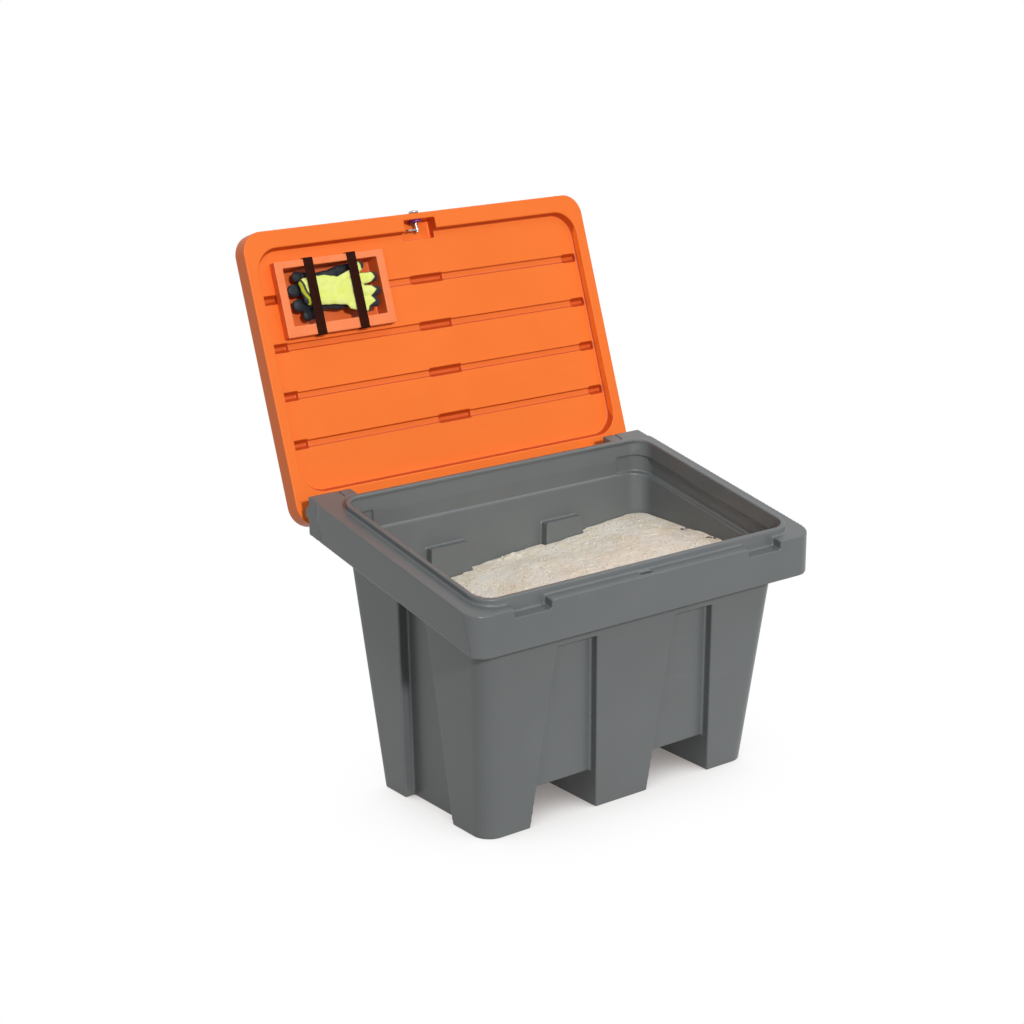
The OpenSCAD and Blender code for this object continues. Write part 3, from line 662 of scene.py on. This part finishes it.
# Rubber bands across the tray, turned down over its two long edges. Sizes are in millimetres
bandLook = {"width": 25, "thick": 2.5, "bend": 2.4, "bendSteps": 7, "edge": 0.7, "turnDown": 12,
    "trayHalf": 89.5, "sag": 0.15, "trayMiddle": 20}


def makeBand(name, node, middleX, look):
    t, half, bend, steps = look["thick"], look["trayHalf"], look["bend"], look["bendSteps"]
    # Outer line of the band in the tray's y and z: down the side, round the turn and across
    turnedDown = [(-half - t, look["turnDown"]), (-half - t, bend - t)]
    for i in range(1, steps):
        turn = math.pi / 2 * i / steps
        turnedDown.append((-half - t + bend * (1 - math.cos(turn)), bend - t - bend * math.sin(turn)))
    turnedDown.append((-half - t + bend, -t))
    line = turnedDown + [(-half / 2, -t), (0, -t + look["sag"]), (half / 2, -t)]
    line += [(-y, z) for y, z in reversed(turnedDown)]
    # Section of the band: a flat bar with rounded edges
    edge, w = look["edge"], look["width"] / 2
    section = []
    for cx, cz, start in ((w - edge, edge, -90), (w - edge, t - edge, 0), (edge - w, t - edge, 90),
        (edge - w, edge, 180)):
        for turn in (0, 30, 60, 90):
            angle = math.radians(start + turn)
            section.append((cx + edge * math.cos(angle), cz + edge * math.sin(angle)))
    rings = []
    for i, (y, z) in enumerate(line):
        before, after = line[max(i - 1, 0)], line[min(i + 1, len(line) - 1)]
        along = Vector((after[0] - before[0], after[1] - before[1])).normalized()
        inward = Vector((-along.y, along.x))
        if inward.dot(Vector((0, look["trayMiddle"])) - Vector((y, z))) < 0:
            inward = -inward
        rings.append([(middleX + x, y + inward.x * depth, z + inward.y * depth) for x, depth in section])
    mesh = tubeMesh(name, rings)
    mesh.transform(trayFrame)
    shadeSmooth(mesh)
    addPiece(name, mesh, "lid", brownRubber, [node])


makeBand("band_left", "strap_left", -60, bandLook)
makeBand("band_right", "strap_right", 60, bandLook)
print("bands stretched over the tray")


# Lock parts are turned: a profile of (radius, height) in millimetres, spun about the lock's axis
def turned(name, profile, place, body, material, nodes):
    steps = 64
    turns = [2 * math.pi * k / steps for k in range(steps)]
    rings = [[(radius * math.cos(turn), radius * math.sin(turn), height) for turn in turns]
        for radius, height in profile]
    mesh = tubeMesh(name, rings)
    mesh.transform(place)
    shadeSmooth(mesh)
    addPiece(name, mesh, body, material, nodes)


lockLook = {"axisDepth": 59.1, "front": -660.5, "headRadius": 12, "headHeight": 8, "capRadius": 16,
    "capHeight": 6, "capStart": -15, "bore": 3.6, "keyhole": (1.1, 6, 0.4), "keyholeEdge": 0.15}


def makeLock(look):
    # The lock's own frame: z runs out of the lid's front edge
    place = lidFrame @ Matrix.Scale(mm, 4) @ Matrix.Translation((0, look["front"], look["axisDepth"]))
    place = place @ Matrix.Rotation(math.radians(90), 4, "X")
    # The head's profile goes round its rounded rim and in to the sunk plug
    r, h = look["headRadius"], look["headHeight"]
    head = [(0.5, 0), (r, 0), (r, h - 2.2), (r - 0.4, h - 1.2), (r - 1.2, h - 0.4), (r - 2.2, h),
        (r - 3.4, h), (r - 3.8, h - 0.3), (r - 4.1, h - 1), (r - 4.5, h - 1.2), (r - 8, h - 1.2),
        (0.5, h - 1.2)]
    turned("lock_head_chrome", head, place, "lock", lockChrome, ["lock_head"])
    # The keyhole is not cut: a dark slit of black nylon lies on the plug as painted shade for the hole
    slit = bmesh.new()
    slitPlace = Matrix.Translation((0, 0, h - 1.3)) @ Matrix.Diagonal(look["keyhole"] + (1,))
    bmesh.ops.create_cube(slit, size=1, matrix=slitPlace)
    bmesh.ops.bevel(slit, geom=slit.edges[:], offset=look["keyholeEdge"], segments=2, profile=0.5,
        affect="EDGES")
    mesh = finishMesh("keyhole_painted_shade", slit)
    mesh.transform(place)
    addPiece("keyhole_painted_shade", mesh, "lock", blackNylon)
    # The ring's profile goes from its bore out over its rim and back
    c, k, start, bore = look["capRadius"], look["capHeight"], look["capStart"], look["bore"]
    cap = [(bore, start), (c, start), (c, start - k + 1.4), (c - 0.4, start - k + 0.6),
        (c - 1.4, start - k), (5.5, start - k), (4.6, start - k + 0.3), (bore, start - k + 0.9)]
    turned("lock_cap_ring", cap, place, "lid", purpleAcetal, ["lock_cap"])


makeLock(lockLook)
print("lock turned")

# CAD nodes whose shape stays get their finish here
kept = {"hinge_pin_left": zincSteel, "hinge_pin_right": zincSteel, "hinge_bush_left": blackNylon,
    "hinge_bush_right": blackNylon, "lock_barrel": lockChrome, "lock_shaft": zincSteel,
    "lock_lever": zincSteel}
for node, material in kept.items():
    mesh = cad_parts[node].data
    for slotIndex in range(len(mesh.materials)):
        mesh.materials[slotIndex] = material

# Camera at the photograph's place
cameraLook = {"place": (-3.0761, -3.7954, 2.1256), "turn": (73.15, 0.06, -37.506), "lens": 77.77,
    "sensor": 36}
camera = bpy.data.objects.new("camera", bpy.data.cameras.new("camera"))
camera.location = cameraLook["place"]
camera.rotation_euler = [math.radians(a) for a in cameraLook["turn"]]
camera.data.lens = cameraLook["lens"]
camera.data.sensor_width = cameraLook["sensor"]
bpy.context.scene.collection.objects.link(camera)
bpy.context.scene.camera = camera

# Studio: a low lamp from the front, weak ones from the left and from above, and even light all round
lamps = {
    "frontLamp": {"toward": (-0.17, -0.87, 0.46), "power": 1.92, "spread": 5, "colour": "#FFFDFA"},
    "cornerLamp": {"toward": (-0.82, -0.54, 0.2), "power": 0.2, "spread": 9, "colour": "#FFFFFF"},
    "topLamp": {"toward": (0.45, -0.35, 0.82), "power": 0.5, "spread": 30, "colour": "#FFFFFF"},
}
for name, look in lamps.items():
    lamp = bpy.data.objects.new(name, bpy.data.lights.new(name, "SUN"))
    lamp.data.energy = look["power"]
    lamp.data.angle = math.radians(look["spread"])
    lamp.data.color = linear(look["colour"])[:3]
    lamp.rotation_euler = Vector(look["toward"]).to_track_quat("Z", "Y").to_euler()
    bpy.context.scene.collection.objects.link(lamp)


def seenRays(tree):
    # white for what the eye, a mirror or glass sees, and not as a light on the object
    path = addNode(tree, "LightPath")
    mirror = maths(tree, "MAXIMUM", path.outputs["Is Camera Ray"], path.outputs["Is Glossy Ray"])
    return maths(tree, "MAXIMUM", mirror, path.outputs["Is Transmission Ray"])


world = bpy.data.worlds.new("studio")
bpy.context.scene.world = world
world.use_nodes = True
world.node_tree.nodes.clear()
skyTree = world.node_tree
ambient = addNode(skyTree, "Background", inputs={"Color": "#F3F5F8", "Strength": 0.28}).outputs[0]
white = addNode(skyTree, "Background", inputs={"Color": (1, 1, 1, 1), "Strength": 1}).outputs[0]
sky = addNode(skyTree, "MixShader", inputs={0: seenRays(skyTree), 1: ambient, 2: white}).outputs[0]
addNode(skyTree, "OutputWorld", inputs={"Surface": sky})


# Floor: white paper. Where the eye sees it, a soft shadow is drawn close under the bin by how
# closed in each spot is. For bounced light the paper is a darker grey.
def studioPaper(name, look):
    material = newMaterial(name)
    tree = material.node_tree
    openness = addNode(tree, "AmbientOcclusion", {"samples": 16},
        {"Distance": look["reach"] * mm}).outputs["AO"]
    closeUp = maths(tree, "POWER", maths(tree, "SUBTRACT", 1.0, openness), look["power"])
    strength = maths(tree, "SUBTRACT", 1.0, maths(tree, "MULTIPLY", closeUp, look["depth"]))
    tint = mixColours(tree, closeUp, (1, 1, 1, 1), look["shade"])
    seen = addNode(tree, "Emission", inputs={"Color": tint, "Strength": strength}).outputs[0]
    matt = addNode(tree, "BsdfDiffuse", inputs={"Color": look["colour"]}).outputs[0]
    paper = addNode(tree, "MixShader", inputs={0: seenRays(tree), 1: matt, 2: seen}).outputs[0]
    return finishMaterial(material, paper)


floorLook = {"colour": "#989492", "shade": "#D8CFCB", "reach": 340, "power": 3, "depth": 0.8, "size": 60}
floorMesh = bpy.data.meshes.new("floor")
half = floorLook["size"] / 2
floorMesh.from_pydata([(-half, -half, 0), (half, -half, 0), (half, half, 0), (-half, half, 0)], [],
    [(0, 1, 2, 3)])
floorMesh.materials.append(studioPaper("pale_studio_paper", floorLook))
floor = bpy.data.objects.new("floor", floorMesh)
bpy.context.scene.collection.objects.link(floor)
bpy.context.scene.view_settings.view_transform = "Standard"
print("studio lit")
